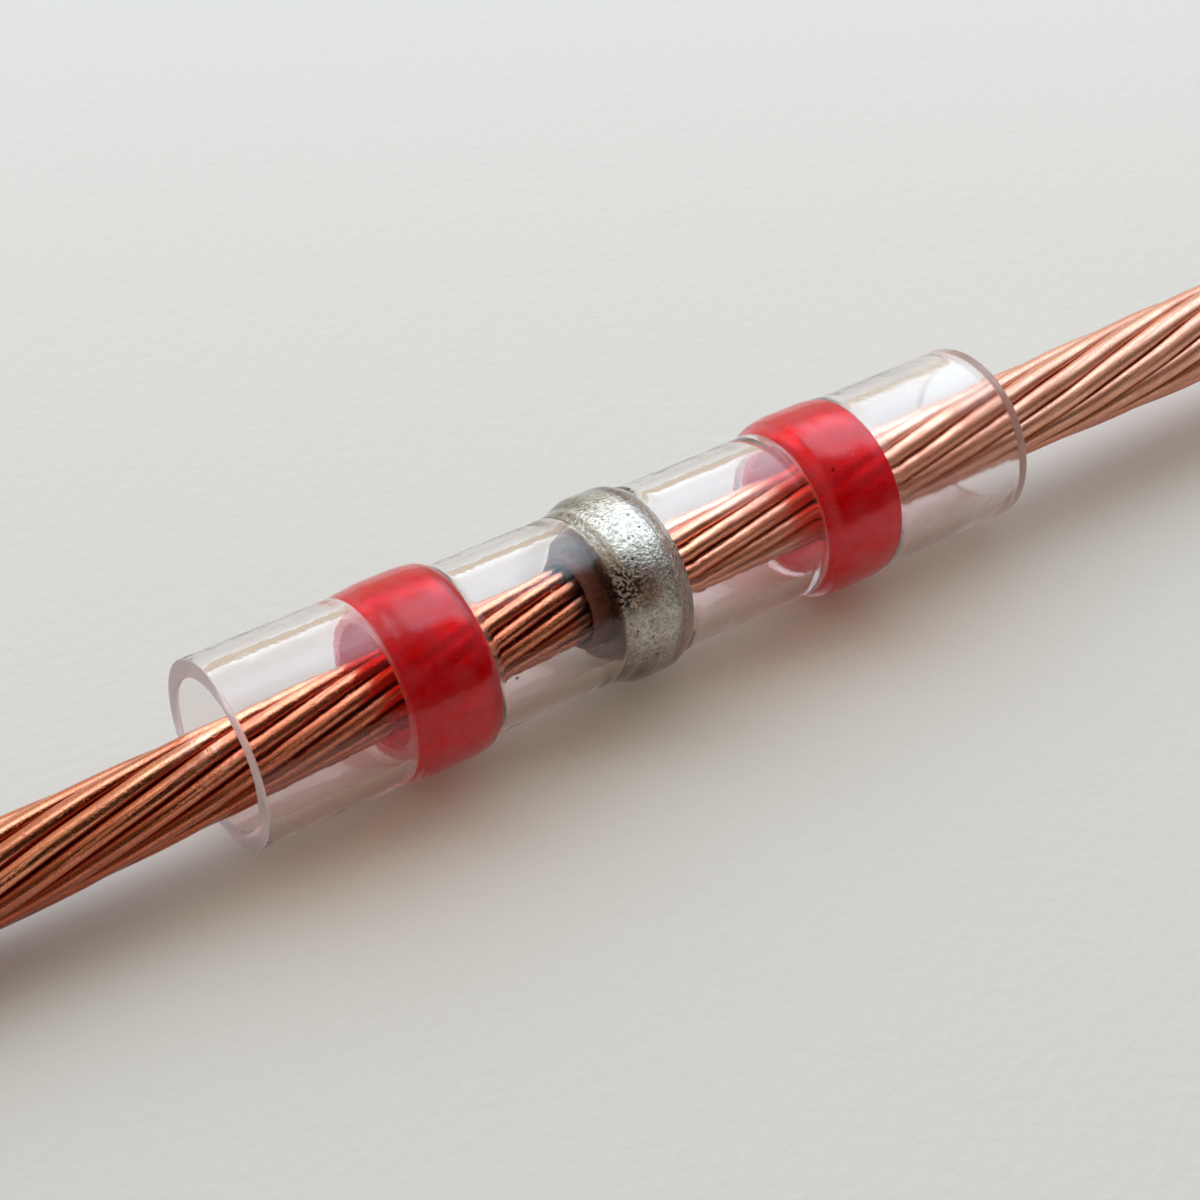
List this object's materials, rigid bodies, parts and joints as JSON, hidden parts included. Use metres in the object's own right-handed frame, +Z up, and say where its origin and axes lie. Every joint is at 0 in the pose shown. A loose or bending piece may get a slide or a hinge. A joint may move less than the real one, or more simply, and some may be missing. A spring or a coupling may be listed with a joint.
{
  "type": "solder sleeve connector",
  "caption": "Clear heat-shrink sleeve with a solder ring and red sealing rings, joining the bare stranded copper ends of a wire.",
  "frame": {"origin": "middle of the sleeve's length, on the surface that the sleeve lies on, straight under its axis", "axes": "+X along the sleeve from the left conductor to the right one, +Z up"},
  "size_m": [0.032, 0.0034, 0.0035],
  "materials": {
    "sleeve": "clear heat-shrink plastic with a faint lilac cast, smooth and glossy",
    "sealing_ring": "cloudy translucent red meltable plastic",
    "solder": "bright grey tin solder with a grainy skin and small pits",
    "flux": "dark brown dried flux",
    "copper": "bare drawn copper strand, bright, with darker grooves"
  },
  "bodies": {
    "root": {"heat_shrink_sleeve": "sleeve", "left_sealing_ring": "sealing_ring", "right_sealing_ring": "sealing_ring", "solder_ring": "solder", "flux_lining": "flux", "left_core_strand": "copper", "left_inner_strand_1": "copper", "left_inner_strand_2": "copper", "left_inner_strand_3": "copper", "left_inner_strand_4": "copper", "left_inner_strand_5": "copper", "left_inner_strand_6": "copper", "left_outer_strand_1": "copper", "left_outer_strand_2": "copper", "left_outer_strand_3": "copper", "left_outer_strand_4": "copper", "left_outer_strand_5": "copper", "left_outer_strand_6": "copper", "left_outer_strand_7": "copper", "left_outer_strand_8": "copper", "left_outer_strand_9": "copper", "left_outer_strand_10": "copper", "left_outer_strand_11": "copper", "left_outer_strand_12": "copper", "right_core_strand": "copper", "right_inner_strand_1": "copper", "right_inner_strand_2": "copper", "right_inner_strand_3": "copper", "right_inner_strand_4": "copper", "right_inner_strand_5": "copper", "right_inner_strand_6": "copper", "right_outer_strand_1": "copper", "right_outer_strand_2": "copper", "right_outer_strand_3": "copper", "right_outer_strand_4": "copper", "right_outer_strand_5": "copper", "right_outer_strand_6": "copper", "right_outer_strand_7": "copper", "right_outer_strand_8": "copper", "right_outer_strand_9": "copper", "right_outer_strand_10": "copper", "right_outer_strand_11": "copper", "right_outer_strand_12": "copper"}
  },
  "joints": []
}
